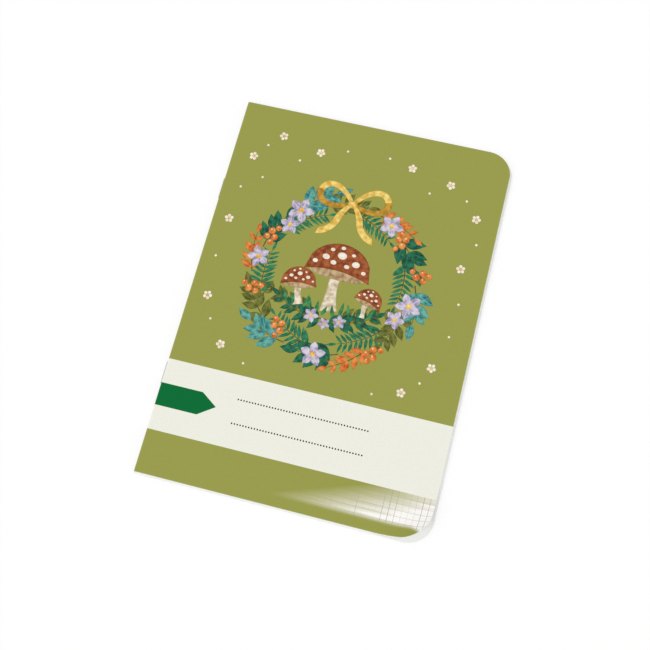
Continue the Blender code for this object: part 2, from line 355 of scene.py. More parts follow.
# Uncoated wood-free paper from the machine, 80 g: matt, neutral white, cloudy where the pulp lies thicker,
# with pale blue squares printed from a plate
def squaredPaper(tree, places):
    plan = pagePlan
    inMm = addNode(tree, "Mapping", {
        "Vector": places["Object"], "Scale": (1 / mm, 1 / mm, 1 / mm),
        "Location": (-(foldX / mm + plan["wide"] / 2), plan["slip"], 0),
    }, vector_type="POINT")
    apart = addNode(tree, "SeparateXYZ", (inMm,), None)
    toRules, insides = [], []
    for number, count in enumerate((plan["squaresWide"], plan["squaresTall"])):
        fromMiddle = addNode(tree, "Math", (apart.outputs[number],), operation="ABSOLUTE")
        reach = (count * plan["square"] + plan["ruleWidth"]) / 2
        insides.append(addNode(tree, "Math", (fromMiddle, reach), operation="LESS_THAN"))
        # with an odd number of squares, the first rule is half a square from the middle
        toRules.append(fromNearest(tree, fromMiddle, -(count % 2) * plan["square"] / 2, plan["square"]))
    nearest = addNode(tree, "Math", toRules, operation="MINIMUM")
    within = addNode(tree, "Math", insides, operation="MULTIPLY")
    onRule = addNode(tree, "Math", (nearest, plan["ruleWidth"] / 2), operation="LESS_THAN")
    printed = addNode(tree, "Math", (within, onRule), operation="MULTIPLY")
    surface = bareFibres(tree, places, plan)
    sheet, ink = surface["Base Color"], tint(plan["ruleInk"])
    shown = addNode(tree, "Mix", {0: printed, 6: sheet, 7: ink}, 2, data_type="RGBA")
    return {**surface, "Base Color": shown}


wirePlan = {
    "dark": "#BFC3C7", "bright": "#E6E8EA", "roughness": (0.2, 0.4),
    "scratchWide": 0.08, "scratchLong": 2, "scratchDepth": 0.005,  # mm, along the crown
    "scratchStrength": 0.2,
}


# Galvanised steel wire, drawn through a die: bright grey with fine scratches along its run
def drawnWire(tree, places):
    plan = wirePlan
    perWidth, perLength = 1 / (plan["scratchWide"] * mm), 1 / (plan["scratchLong"] * mm)
    run = addNode(tree, "Mapping", {
        "Vector": places["Object"], "Scale": (perWidth, perLength, perWidth),
    }, vector_type="POINT")
    scratches = addNode(tree, "TexNoise", {"Vector": run, "Scale": 1.0, "Detail": 2.0})
    dark, bright = tint(plan["dark"]), tint(plan["bright"])
    shown = addNode(tree, "Mix", {0: scratches, 6: dark, 7: bright}, 2, data_type="RGBA")
    glossy, dull = plan["roughness"]
    rough = addNode(tree, "MapRange", (scratches, *noiseSpan, glossy, dull))
    bump = addNode(tree, "Bump", {
        "Strength": plan["scratchStrength"], "Distance": plan["scratchDepth"] * mm, "Height": scratches,
    })
    return {"Base Color": shown, "Metallic": 1.0, "Roughness": rough, "Normal": bump}


frontPrint = makeMaterial("offset printed carton", printedCard, True)
spinePrint = makeMaterial("offset printed carton round the spine", printedCard, False)
pagePaper = makeMaterial("uncoated squared paper", squaredPaper)
cardInside = makeMaterial("bare bleached carton", bareFibres)
wireFinish = makeMaterial("galvanised drawn wire", drawnWire)
print("finishes made")

coverPlan = {
    "thickness": 0.24 * mm,
    "cornerFacets": 20,
    "smoothUnder": 30,  # degrees
    "liftReach": 20 * mm,  # from the square corner in along its diagonal to where the lift starts
    "liftSteps": 14,
    "liftRadius": 18 * mm,
    "pastCut": 0.05 * mm,  # a point lies beyond a cut when it is this far past it
    "pressed": 0.02,  # share of the lift that stays when the cover lies open
    "seam": 0.05 * mm,  # how far the front panel's left edge lies right of the fold's end
    "foldFacets": 28,  # round a whole fold
    "stayHeight": 0.43 * mm,  # over the fold line: below it the spine stays on the staples
    "gap": 0.012 * mm,  # between what stays of the spine and what turns
}


def giveThickness(card, inside):  # the outer side keeps its finish, the rest takes inside
    card.data.materials.append(inside)
    pickOnly(card)
    wall = card.modifiers.new("card thickness", "SOLIDIFY")
    wall.thickness = coverPlan["thickness"]
    wall.offset = -1
    wall.use_even_offset = True
    wall.material_offset = wall.material_offset_rim = 1
    bpy.ops.object.modifier_apply(modifier=wall.name)
    bpy.ops.object.shade_smooth_by_angle(angle=math.radians(coverPlan["smoothUnder"]))


def turnCard(card, degrees):
    pickOnly(card)
    card.rotation_euler.z = math.radians(degrees)
    applyPlace()


def roundForeCorners(card):
    bpy.ops.object.mode_set(mode="EDIT")
    choose(card, "VERT", lambda p: p.x > 0)
    bpy.ops.mesh.bevel(offset=cornerRadius, segments=coverPlan["cornerFacets"], affect="VERTICES")
    bpy.ops.object.mode_set(mode="OBJECT")


def frontCoverCard():
    low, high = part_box("front_cover")
    card = startPlane("frontCoverCard", (foldX + coverPlan["seam"], low.y, high.z), tuple(high))
    card.data.materials.append(frontPrint)
    roundForeCorners(card)
    # the card is turned until the lower fore-edge corner's diagonal lies along X, and the lift made
    # square to it
    turnCard(card, 45)
    corner = Matrix.Rotation(math.radians(45), 3, "Z") @ Vector((high.x, low.y, high.z))
    reach, steps = coverPlan["liftReach"], coverPlan["liftSteps"]
    lines = [corner.x - reach * (1 - step / steps) for step in range(steps)]
    bpy.ops.object.mode_set(mode="EDIT")
    for line in lines:
        bpy.ops.mesh.select_all(action="SELECT")
        bpy.ops.mesh.bisect(plane_co=(line, 0, 0), plane_no=(1, 0, 0))
    bpy.ops.object.mode_set(mode="OBJECT")
    back = Matrix.Rotation(math.radians(-45), 3, "Z")
    flat = card.data.attributes.new("flatPlace", "FLOAT_VECTOR", "POINT")
    for number, vertex in enumerate(card.data.vertices):
        flat.data[number].vector = back @ vertex.co
    bpy.ops.object.mode_set(mode="EDIT")
    turn = reach / steps / coverPlan["liftRadius"]
    for line in reversed(lines):  # from the tip inwards, so that each line is still where it was cut
        choose(card, "VERT", lambda p: p.x > line + coverPlan["pastCut"])
        bpy.ops.transform.rotate(value=turn, orient_axis="Y", center_override=(line, 0, high.z))
    bpy.ops.object.mode_set(mode="OBJECT")
    turnCard(card, -45)
    giveThickness(card, cardInside)
    return card


def spinLeftEdge(card, angle, foot):
    bpy.ops.object.mode_set(mode="EDIT")
    choose(card, "EDGE", lambda p: p.x < foldX + weldReach)
    bpy.ops.mesh.spin(
        steps=max(2, round(abs(angle) / math.pi * coverPlan["foldFacets"])), angle=angle,
        center=(foldX, foot, foldZ), axis=(0, 1, 0),
    )
    weldAll()
    bpy.ops.object.mode_set(mode="OBJECT")
    outside = max(card.data.polygons, key=lambda f: abs(f.center.z - foldZ))
    if outside.normal.z * (outside.center.z - foldZ) < 0:
        bpy.ops.object.mode_set(mode="EDIT")
        bpy.ops.mesh.select_all(action="SELECT")
        bpy.ops.mesh.flip_normals()
        bpy.ops.object.mode_set(mode="OBJECT")


def frontSpineCard():
    low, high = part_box("front_cover")
    card = startPlane("frontSpineCard", (foldX, low.y, high.z), (foldX + coverPlan["seam"], high.y, high.z))
    card.data.materials.append(spinePrint)
    stayAngle = math.asin((coverPlan["stayHeight"] + coverPlan["gap"]) / outerRadius)
    spinLeftEdge(card, math.pi / 2 - stayAngle, low.y)
    giveThickness(card, cardInside)
    return card


def backCoverCard():
    low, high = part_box("back_cover")
    card = startPlane("backCoverCard", (foldX, low.y, low.z), (high.x, high.y, low.z))
    card.data.materials.append(spinePrint)
    roundForeCorners(card)
    spinLeftEdge(card, -(math.pi / 2 + math.asin(coverPlan["stayHeight"] / outerRadius)), low.y)
    giveThickness(card, cardInside)
    return card


def pressFlat(thing):  # gives the thing a mesh of its own; the lifted corner is not pressed flat when the cover is laid open
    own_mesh(thing)


frontCard = frontCoverCard()
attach(frontCard, "front")
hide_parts("front_cover")
pressFlat(frontCard)
frontSpine = frontSpineCard()
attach(frontSpine, "front")
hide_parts("front_cover_bend")
backCard = backCoverCard()
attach(backCard, "back")
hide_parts("back_cover", "cover_spine")
print("covers made")

for name, node in nodes.items():
    if name.startswith(("leaf", "sheet")):
        node.data.materials.clear()
        node.data.materials.append(pagePaper)
print("pages ruled")

staplePlan = {
    "sides": 16, "smoothUnder": 35,  # degrees
    "bendRadius": 0.3 * mm, "bendSteps": 6,
    "turnedLeg": 4.5 * mm,
    "tip": 0.35 * mm, "tipThickness": 0.35,  # cut to a wedge this long, of this share of the wire
}


def stapleWire(name, node):
    plan = staplePlan
    low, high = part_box(node)
    radius, height = (high.z - low.z) / 2, (high.z + low.z) / 2
    crown, turned = low.x + radius, high.x - radius
    bottomLeg, topLeg = low.y + radius, high.y - radius
    bend = plan["bendRadius"]
    wire = startPiece(
        name, bpy.ops.mesh.primitive_circle_add, vertices=plan["sides"], radius=radius, fill_type="NGON",
        location=(turned, topLeg - plan["turnedLeg"], height), rotation=(math.pi / 2, 0, 0),
    )
    applyPlace()
    bpy.ops.object.mode_set(mode="EDIT")
    bpy.ops.mesh.select_mode(type="FACE")
    bpy.ops.mesh.select_all(action="SELECT")
    straight = plan["turnedLeg"] - bend - plan["tip"]
    runs = (  # each straight run, then the middle of the bend after it
        ((0, straight, 0), (turned - bend, topLeg - bend)),
        ((crown - turned + 2 * bend, 0, 0), (crown + bend, topLeg - bend)),
        ((0, bottomLeg - topLeg + 2 * bend, 0), (crown + bend, bottomLeg + bend)),
        ((turned - crown - 2 * bend, 0, 0), (turned - bend, bottomLeg + bend)),
    )
    bpy.ops.mesh.extrude_region_move(TRANSFORM_OT_translate={"value": (0, plan["tip"], 0)})
    for run, middle in runs:
        bpy.ops.mesh.extrude_region_move(TRANSFORM_OT_translate={"value": run})
        bpy.ops.mesh.spin(
            steps=plan["bendSteps"], angle=-math.pi / 2, center=(*middle, height), axis=(0, 0, 1),
        )
    bpy.ops.mesh.extrude_region_move(TRANSFORM_OT_translate={"value": (0, straight, 0)})
    bpy.ops.mesh.extrude_region_move(TRANSFORM_OT_translate={"value": (0, plan["tip"], 0)})
    for tip in (topLeg - plan["turnedLeg"], bottomLeg + plan["turnedLeg"]):
        choose(wire, "VERT", lambda p: abs(p.y - tip) < weldReach and p.x > (crown + turned) / 2)
        bpy.ops.transform.resize(value=(1, 1, plan["tipThickness"]), center_override=(turned, tip, height))
    weldAll()
    bpy.ops.object.mode_set(mode="OBJECT")
    bpy.ops.object.shade_smooth_by_angle(angle=math.radians(plan["smoothUnder"]))
    wire.data.materials.append(wireFinish)
    return wire


for name, node in (("stapleAtHead", "staple_top"), ("stapleAtFoot", "staple_bottom")):
    wire = stapleWire(name, node)
    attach(wire, "back")
    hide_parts(node)
print("staples bent")

# The printed picture: a wreath with a bow, and toadstools in it, in mm on the cover as the print's
inkPlan = {
    "seed": 11,
    "broadLeaf": (0, 0.5, 0.82, 0.98, 1, 0.86, 0.6, 0.28, 0),  # widths along a shape, of its greatest
    "narrowLeaf": (0, 0.7, 0.95, 1, 0.9, 0.7, 0.4, 0),
    "petal": (0.12, 0.34, 0.62, 0.88, 1, 0.98, 0.8, 0.45, 0),
    "capSteps": 18, "capRise": 0.9, "capHollow": 0.16,  # its two edges, as shares of its height
    # each film lies so many mm over the one before, with its shapes on so many levels
    "filmStep": 0.008, "levels": 11, "levelStep": 0.0007,
    # gouache: washes this far across, and grain drawn coarser than the real pigment, which would not show
    "wash": 2.4, "grain": 0.4,
    "washSpan": (0.35, 0.65), "washTone": (-0.25, 0.75), "grainTone": 0.5,
    "brimFrom": 0.7, "brimStrength": 0.55,  # as shares of the half width
    "rib": (0.05, 0.16), "ribStrength": 0.75,
    "veinPitch": 0.15, "veinSlant": 0.16, "veinWidth": 0.022, "veinStrength": 0.35,  # of the length
    "dabPlace": (0.38, 0.66, 0), "dab": (0.05, 0.16), "dabStrength": 0.7, "dabLight": "#FBEBD3",
    "hairWidth": 1e-5, "hairReach": 2e-5,  # a point of a strip is as thin as this until it is welded
    "columnReach": 0.2,  # how near its place a column is looked for, as a share of the gap between two
}
# The films of ink from the lowest up: the gouache's name, its deep and light tone, and the form that its
# own map is read as. Last is what its copies are made from: an outline, or how many sides a round one has
films = {
    "twigs": ("bark brown", "#4E3520", "#7C5A38", "strip", None),
    "ferns": ("fern green", "#14573E", "#3E8A62", "leaf", "narrowLeaf"),
    "oliveLeaves": ("dark olive", "#474B1F", "#7A7F3C", "leaf", "broadLeaf"),
    "darkLeaves": ("bottle green", "#123F33", "#2F7A58", "leaf", "broadLeaf"),
    "tealLeaves": ("teal", "#1D6A6C", "#6FB4A6", "leaf", "broadLeaf"),
    "rustLeaves": ("rust orange", "#B4481C", "#E8924A", "leaf", "broadLeaf"),
    "stems": ("cream", "#BBA683", "#F2E8D2", "strip", None),
    "gills": ("buff", "#9A7B55", "#CDB48C", "strip", 28),
    "caps": ("russet", "#7A3A1E", "#B0643A", "strip", "cap"),
    "grass": ("grass green", "#1B5A3C", "#4F9A5C", "leaf", "narrowLeaf"),
    "petals": ("lavender grey", "#8F83A3", "#DCD3E2", "leaf", "petal"),
    "hearts": ("warm yellow", "#D89A2E", "#F5DA78", "round", 16),
    "berries": ("orange", "#C2571F", "#F0A055", "round", 18),
    "spots": ("off-white", "#E6D8C4", "#FBF5EA", "round", 14),
    "ribbonBacks": ("ochre", "#A87A26", "#CDA040", "strip", None),
    "ribbon": ("straw yellow", "#D2A53C", "#F6DC83", "strip", None),
    "knot": ("golden yellow", "#B98A2C", "#F2D272", "round", 20),
}
drawn = {name: [] for name in films}  # shapes in their places
placed = {name: [] for name in films}  # places of copies: x, y, turn, length, width in mm and degrees
draw = random.Random(inkPlan["seed"])


# Gouache, reproduced in offset: two tones of one colour that cloud into each other, fine pigment grain and
# a darker brim where the paint dried last
def gouacheInk(tree, places, deep, light, form):
    plan = inkPlan
    deep, light = tint(deep), tint(light)
    spot, ownMap = places["Object"], places["UV"]
    wash = addNode(tree, "TexNoise", {"Vector": spot, "Scale": 1 / (plan["wash"] * mm), "Detail": 3.0})
    grain = addNode(tree, "TexNoise", {"Vector": spot, "Scale": 1 / (plan["grain"] * mm), "Detail": 2.0})
    tone = addNode(tree, "MapRange", (wash, *plan["washSpan"], *plan["washTone"]))
    tone = addNode(tree, "Math", (grain, plan["grainTone"], tone), operation="MULTIPLY_ADD", use_clamp=True)
    shown = addNode(tree, "Mix", {0: tone, 6: deep, 7: light}, 2, data_type="RGBA")
    flat = addNode(tree, "SeparateXYZ", (ownMap,), None)
    if form == "round":
        off = addNode(tree, "VectorMath", (ownMap, (0.5, 0.5, 0)), "Value", operation="DISTANCE")
    else:
        off = addNode(tree, "Math", (flat.outputs[1], 0.5), operation="SUBTRACT")
        off = addNode(tree, "Math", (off,), operation="ABSOLUTE")
    across = addNode(tree, "Math", (off, 2), operation="MULTIPLY")
    brim = addNode(tree, "MapRange", (
        across, plan["brimFrom"], 1, 0, plan["brimStrength"],
    ), interpolation_type="SMOOTHSTEP")
    shown = addNode(tree, "Mix", {0: brim, 6: shown, 7: deep}, 2, data_type="RGBA")
    if form == "leaf":  # midrib and side veins, left lighter
        inside, outside = plan["rib"]
        rib = addNode(tree, "MapRange", (
            across, inside, outside, plan["ribStrength"], 0,
        ), interpolation_type="SMOOTHSTEP")
        slant = (across, -plan["veinSlant"], flat.outputs[0])
        slant = addNode(tree, "Math", slant, operation="MULTIPLY_ADD")
        toVein = addNode(tree, "Math", (slant, plan["veinPitch"] / 2), operation="PINGPONG")
        vein = addNode(tree, "MapRange", (
            toVein, 0.0, plan["veinWidth"], plan["veinStrength"], 0,
        ), interpolation_type="SMOOTHSTEP")
        lines = addNode(tree, "Math", (rib, vein), operation="MAXIMUM")
        shown = addNode(tree, "Mix", {0: lines, 6: shown, 7: light}, 2, data_type="RGBA")
    if form == "round":  # one dab of light
        toDab = addNode(tree, "VectorMath", (ownMap, plan["dabPlace"]), "Value", operation="DISTANCE")
        inside, outside = plan["dab"]
        dab = addNode(tree, "MapRange", (
            toDab, inside, outside, plan["dabStrength"], 0,
        ), interpolation_type="SMOOTHSTEP")
        shown = addNode(tree, "Mix", {0: dab, 6: shown, 7: tint(plan["dabLight"])}, 2, data_type="RGBA")
    return {**varnish, "Base Color": shown}


def inkStrip(name, columns):  # each column of points along a strip: its x, y, width and turn
    count = len(columns) - 1
    left = -2  # the grid starts well to the left of the columns' places, so that none is chosen twice
    strip = startPiece(
        name, bpy.ops.mesh.primitive_grid_add, x_subdivisions=count, y_subdivisions=2, size=1,
        location=(left + 0.5, 0, 0),
    )
    applyPlace()
    bpy.ops.object.mode_set(mode="EDIT")
    for number, (x, y, width, turn) in enumerate(columns):
        start, reach = left + number / count, inkPlan["columnReach"] / count
        choose(strip, "VERT", lambda p: abs(p.x - start) < reach)
        width = max(width, inkPlan["hairWidth"])
        bpy.ops.transform.resize(value=(1, width, 1), center_override=(start, 0, 0))
        angle = -math.radians(turn)
        if angle:
            bpy.ops.transform.rotate(value=angle, orient_axis="Z", center_override=(start, 0, 0))
        bpy.ops.transform.translate(value=(x - start, y, 0))
    bpy.ops.mesh.select_all(action="SELECT")
    bpy.ops.mesh.remove_doubles(threshold=inkPlan["hairReach"])
    bpy.ops.object.mode_set(mode="OBJECT")
    return strip


def leafShape(name, widths):
    last = len(widths) - 1
    return inkStrip(name, [(number / last, 0, width, 0) for number, width in enumerate(widths)])


def capShape(name):
    columns, steps = [], inkPlan["capSteps"]
    for number in range(steps + 1):
        t = -1 + 2 * number / steps
        top = math.sqrt(max(0, 1 - t * t)) ** inkPlan["capRise"]
        bottom = inkPlan["capHollow"] * (1 - t * t)
        columns.append((t / 2, (top + bottom) / 2, max(top - bottom, 0), 0))
    return inkStrip(name, columns)


def placedCopies(name, outline):
    if outline == "cap":
        shape = capShape(name)
    elif isinstance(outline, int):
        adding = bpy.ops.mesh.primitive_circle_add
        shape = startPiece(name, adding, vertices=outline, radius=0.5, fill_type="TRIFAN")
    else:
        shape = leafShape(name, inkPlan[outline])
    for x, y, turn, length, width in placed[name]:
        copy = shape.copy()
        copy.data = shape.data.copy()
        bpy.context.scene.collection.objects.link(copy)
        copy.location = (spineEdge + x * mm, footEdge + y * mm, 0)
        copy.rotation_euler.z = math.radians(turn)
        copy.scale = (length * mm, width * mm, 1)
        drawn[name].append(copy)
    bpy.data.objects.remove(shape)


def inkFilm(name, shapes, height, finish):  # joins the shapes to one thin film of ink on the card
    for number, shape in enumerate(shapes):  # neighbours never lie in one plane
        shape.location.z = coverTop + (height + number % inkPlan["levels"] * inkPlan["levelStep"]) * mm
    deselectAll()
    for shape in shapes:
        shape.select_set(True)
    bpy.context.view_layer.objects.active = shapes[0]
    if len(shapes) > 1:
        bpy.ops.object.join()
    film = bpy.context.object
    film.name = film.data.name = name + "Ink"
    applyPlace()
    bpy.ops.object.mode_set(mode="EDIT")
    bpy.ops.mesh.select_all(action="SELECT")
    # the underside is drawn down and then flattened on to the card
    bpy.ops.mesh.extrude_region_move(TRANSFORM_OT_translate={"value": (0, 0, -coverPlan["thickness"])})
    bpy.ops.transform.resize(value=(1, 1, 0), center_override=(0, 0, coverTop))
    bpy.ops.mesh.select_all(action="SELECT")
    bpy.ops.mesh.normals_make_consistent(inside=False)
    bpy.ops.object.mode_set(mode="OBJECT")
    film.data.materials.clear()
    film.data.materials.append(finish)
    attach(film, "front")
    pressFlat(film)


def alongPath(start, heading, length, curl, steps):  # points and headings of a line that curls evenly
    x, y, turn = start[0], start[1], heading
    points = [(x, y, turn)]
    for _ in range(steps):
        turn += curl / steps
        x += length / steps * math.cos(math.radians(turn))
        y += length / steps * math.sin(math.radians(turn))
        points.append((x, y, turn))
    return points


def onCover(points, widths):  # columns in metres for a strip that lies on the cover
    return [
        (spineEdge + x * mm, footEdge + y * mm, width * mm, turn)
        for (x, y, turn), width in zip(points, widths)
    ]


sprigPlan = {
    "steps": 10, "twig": 0.6, "taper": 0.06,  # the twig's width, and the share it loses with each step
    "firstPair": 0.7,  # how far up the first pair of leaves sits, in gaps between pairs
    "shrink": 0.4, "sizes": (0.92, 1.08), "sway": 6,  # leaves get smaller towards the tip, and vary
    "tipLeaf": (0.75, 0.7),
}


def drawSprig(start, heading, kind, length, curl, pairs, leaf, spread):
    plan = sprigPlan
    steps = plan["steps"]
    points = alongPath(start, heading, length, curl, steps)
    widths = [plan["twig"] * (1 - plan["taper"] * number) for number in range(steps + 1)]
    drawn["twigs"].append(inkStrip("twig", onCover(points, widths)))
    for pair in range(pairs):
        share = (pair + plan["firstPair"]) / (pairs + plan["firstPair"])
        x, y, turn = points[round(share * steps)]
        size = (1 - plan["shrink"] * share) * draw.uniform(*plan["sizes"])
        for side in (-1, 1):
            leafTurn = turn + side * (spread + draw.uniform(-plan["sway"], plan["sway"]))
            placed[kind].append((x, y, leafTurn, leaf[0] * size, leaf[1] * size))
    x, y, turn = points[-1]
    placed[kind].append((x, y, turn, leaf[0] * plan["tipLeaf"][0], leaf[1] * plan["tipLeaf"][1]))


flowerPlan = {"petals": 5, "petalWidth": 0.62, "heart": 0.42}  # as shares of the petal's length
blossomPlan = {"dabs": 5, "reach": 0.62, "dab": 0.7, "heart": 0.6}  # as shares of the blossom's size


def drawFlower(x, y, size, turn):
    plan = flowerPlan
    for number in range(plan["petals"]):
        petalTurn = turn + 360 / plan["petals"] * number
        placed["petals"].append((x, y, petalTurn, size, size * plan["petalWidth"]))
    placed["hearts"].append((x, y, 0, size * plan["heart"], size * plan["heart"]))


def drawBerries(x, y, size, turn):  # each berry of the cluster a little smaller than the one before
    cosine, sine = math.cos(math.radians(turn)), math.sin(math.radians(turn))
    for number, (along, aside) in enumerate(wreathPlan["cluster"]):
        berryX = x + size * (along * cosine - aside * sine)
        berryY = y + size * (along * sine + aside * cosine)
        across = size * (wreathPlan["firstBerry"] - wreathPlan["berryShrink"] * number)
        placed["berries"].append((berryX, berryY, 0, across, across))


def drawBlossom(x, y, size, turn):
    plan = blossomPlan
    for number in range(plan["dabs"]):
        angle = math.radians(turn + 360 / plan["dabs"] * number)
        dabX = x + plan["reach"] * size * math.cos(angle)
        dabY = y + plan["reach"] * size * math.sin(angle)
        placed["spots"].append((dabX, dabY, 0, size * plan["dab"], size * plan["dab"]))
    placed["hearts"].append((x, y, 0, size * plan["heart"], size * plan["heart"]))


wreathPlan = {
    "middle": (71, 121), "radius": 41, "sprigs": 18, "firstAngle": 8,
    "kinds": ("tealLeaves", "ferns", "darkLeaves", "rustLeaves", "ferns", "oliveLeaves"),
    "tilts": (14, -10, 4), "shifts": (1.5, -2.5, 0),
    "forms": {
        "ferns": {"length": 26, "curl": -30, "pairs": 9, "leaf": (8.4, 2.1), "spread": 58},
        "rustLeaves": {"length": 22, "curl": -26, "pairs": 5, "leaf": (7.6, 3.5), "spread": 50},
        "tealLeaves": {"length": 21, "curl": -24, "pairs": 3, "leaf": (12.6, 6.2), "spread": 42},
        "darkLeaves": {"length": 21, "curl": -24, "pairs": 3, "leaf": (12.6, 6.2), "spread": 42},
        "oliveLeaves": {"length": 22, "curl": -24, "pairs": 4, "leaf": (10.4, 4.8), "spread": 44},
    },
    "berrySize": 3.5, "firstBerry": 1.1, "berryShrink": 0.06, "berryTurn": 60,
    "cluster": ((0, 0), (1.0, 0.55), (0.95, -0.6), (1.85, 0.05), (-0.5, 0.95)),  # in berries' widths
    "berries": (  # angle on the ring, and how far out
        (14, 2), (40, -1), (154, 1), (200, 3), (240, -2), (312, 3),
    ),
    "flowers": (  # the same, and the petals' length
        (128, 1, 7.4), (141, -3, 5.6), (352, 1, 7.2), (338, -2, 5.4), (270, 1, 6.8), (176, 0, 6.2),
        (57, 1, 6.6),
    ),
    "flowerTurn": 23,
    "blossoms": (  # about it: x, y, turn
        (12, 179, 10), (25, 194, 40), (47, 189, 65), (97, 191, 20), (119, 186, 50), (136, 170, 0),
        (134, 141, 30), (131, 86, 60), (119, 70, 15), (24, 73, 45), (10, 97, 70), (9, 141, 25),
    ),
    "blossomSize": 2.5,
    "specks": (
        (18, 187), (37, 182), (61, 193), (84, 194), (109, 179), (129, 179), (139, 156), (137, 122),
        (136, 104), (127, 77), (105, 66), (38, 66), (15, 85), (8, 119), (10, 160), (20, 168),
    ),
    "speckSize": 1.3,
}


def ringPoint(angle, out):
    reach = wreathPlan["radius"] + out
    x = wreathPlan["middle"][0] + reach * math.cos(math.radians(angle))
    y = wreathPlan["middle"][1] + reach * math.sin(math.radians(angle))
    return x, y


def drawWreath():
    plan = wreathPlan
    for number in range(plan["sprigs"]):
        angle = 360 * number / plan["sprigs"] + plan["firstAngle"]
        kind = plan["kinds"][number % len(plan["kinds"])]
        start = ringPoint(angle, plan["shifts"][number % len(plan["shifts"])])
        heading = angle - 90 + plan["tilts"][number % len(plan["tilts"])]
        drawSprig(start, heading, kind, **plan["forms"][kind])
    for number, (angle, out) in enumerate(plan["berries"]):
        drawBerries(*ringPoint(angle, out), plan["berrySize"], angle + plan["berryTurn"] * number)
    for number, (angle, out, size) in enumerate(plan["flowers"]):
        drawFlower(*ringPoint(angle, out), size, plan["flowerTurn"] * number)
    for x, y, turn in plan["blossoms"]:
        drawBlossom(x, y, plan["blossomSize"], turn)
    for x, y in plan["specks"]:
        placed["spots"].append((x, y, 0, plan["speckSize"], plan["speckSize"]))


drawWreath()
print("wreath drawn:", len(drawn["twigs"]), "twigs")

toadstoolPlan = {
    "stools": (
        {"foot": (73, 103), "lean": 93, "tall": 21, "stem": 6.2, "cap": 35, "high": 18},
        {"foot": (56.5, 103), "lean": 102, "tall": 11, "stem": 4.0, "cap": 19, "high": 10.5},
        {"foot": (89.5, 103.5), "lean": 79, "tall": 8.5, "stem": 3.5, "cap": 15, "high": 8.6},
    ),
    "stemCurl": -12, "stemShares": (1.45, 1.2, 1.0, 0.88, 0.84, 0.88, 0.95),  # widths from the foot up
    "gillSink": 0.02, "gillSize": (0.86, 0.36), "capSink": 0.08,  # as shares of the cap
    "spotTall": 0.8,
    "spots": (  # across, up and size, as shares of the cap
        (0.0, 0.64, 0.14), (-0.46, 0.5, 0.11), (0.47, 0.48, 0.12), (0.22, 0.35, 0.08),
        (-0.2, 0.38, 0.09), (-0.74, 0.3, 0.08), (0.76, 0.29, 0.07), (-0.03, 0.88, 0.07),
        (0.33, 0.74, 0.06), (-0.33, 0.76, 0.07),
    ),
    "cradle": (  # sprigs under them: start, heading, kind, curl
        ((72, 98.5), 190, "darkLeaves", -46), ((72, 98.5), -10, "darkLeaves", 46),
        ((66, 101.5), 176, "oliveLeaves", -20), ((78, 101.5), 4, "oliveLeaves", 20),
    ),
    "cradleSprig": {"length": 27, "pairs": 6, "leaf": (8.2, 3.5), "spread": 46},
    "flowers": ((65, 99, 4.2, 0), (80, 98.6, 3.8, 25), (72.5, 96, 3.4, 50)),  # x, y, petals' length, turn
    "bladeWidth": 1.9,
    "blades": (  # x, y, turn, length
        (51, 103, 118, 8), (54, 102, 96, 7), (60, 102, 78, 7.5), (64, 101, 108, 9),
        (67, 100.5, 92, 7), (70, 100, 70, 6), (76, 100, 106, 7), (79, 100.5, 84, 9),
        (84, 101.5, 104, 7.5), (88, 102.5, 80, 6.5), (93, 103, 64, 8),
    ),
}


def drawToadstool(foot, lean, tall, stem, cap, high):
    plan = toadstoolPlan
    widths = [stem * share for share in plan["stemShares"]]
    points = alongPath(foot, lean - plan["stemCurl"] / 2, tall, plan["stemCurl"], len(widths) - 1)
    drawn["stems"].append(inkStrip("stem", onCover(points, widths)))
    topX, topY, turn = points[-1]
    lean = turn - 90
    cosine, sine = math.cos(math.radians(lean)), math.sin(math.radians(lean))
    gillWide, gillHigh = plan["gillSize"]
    placed["gills"].append((topX, topY - high * plan["gillSink"], lean, cap * gillWide, high * gillHigh))
    placed["caps"].append((topX, topY - high * plan["capSink"], lean, cap, high))
    for across, up, size in plan["spots"]:
        aside, above = across / 2 * cap, (up - plan["capSink"]) * high
        spotX, spotY = topX + aside * cosine - above * sine, topY + aside * sine + above * cosine
        placed["spots"].append((spotX, spotY, lean, size * cap, size * cap * plan["spotTall"]))


for stool in toadstoolPlan["stools"]:
    drawToadstool(**stool)
for start, heading, kind, curl in toadstoolPlan["cradle"]:
    drawSprig(start, heading, kind, curl=curl, **toadstoolPlan["cradleSprig"])
for x, y, turn, length in toadstoolPlan["blades"]:
    placed["grass"].append((x, y, turn, length, toadstoolPlan["bladeWidth"]))
for x, y, size, turn in toadstoolPlan["flowers"]:
    drawFlower(x, y, size, turn)
print("toadstools drawn:", len(placed["caps"]))

bowPlan = {
    "place": (71, 163.5), "loopLength": 19, "loopWidth": 7.6, "loopTilt": 16, "loopSteps": 24,
    "loopOpening": 0.08,  # share of half a turn left open at the knot, on each side of the loop
    "ribbon": 3.6, "pinched": 0.4, "swell": 0.7,  # width, the share of it at the knot, how it widens
    "tailLength": 25, "tailSpread": 52, "tailCurls": (-38, 60), "tailSteps": 8,
    "tailStart": 0.45, "tailWidens": 0.09, "tailCut": 32,  # shares of the width, and the slant of the end
    "knot": (5.2, 4.6),
}


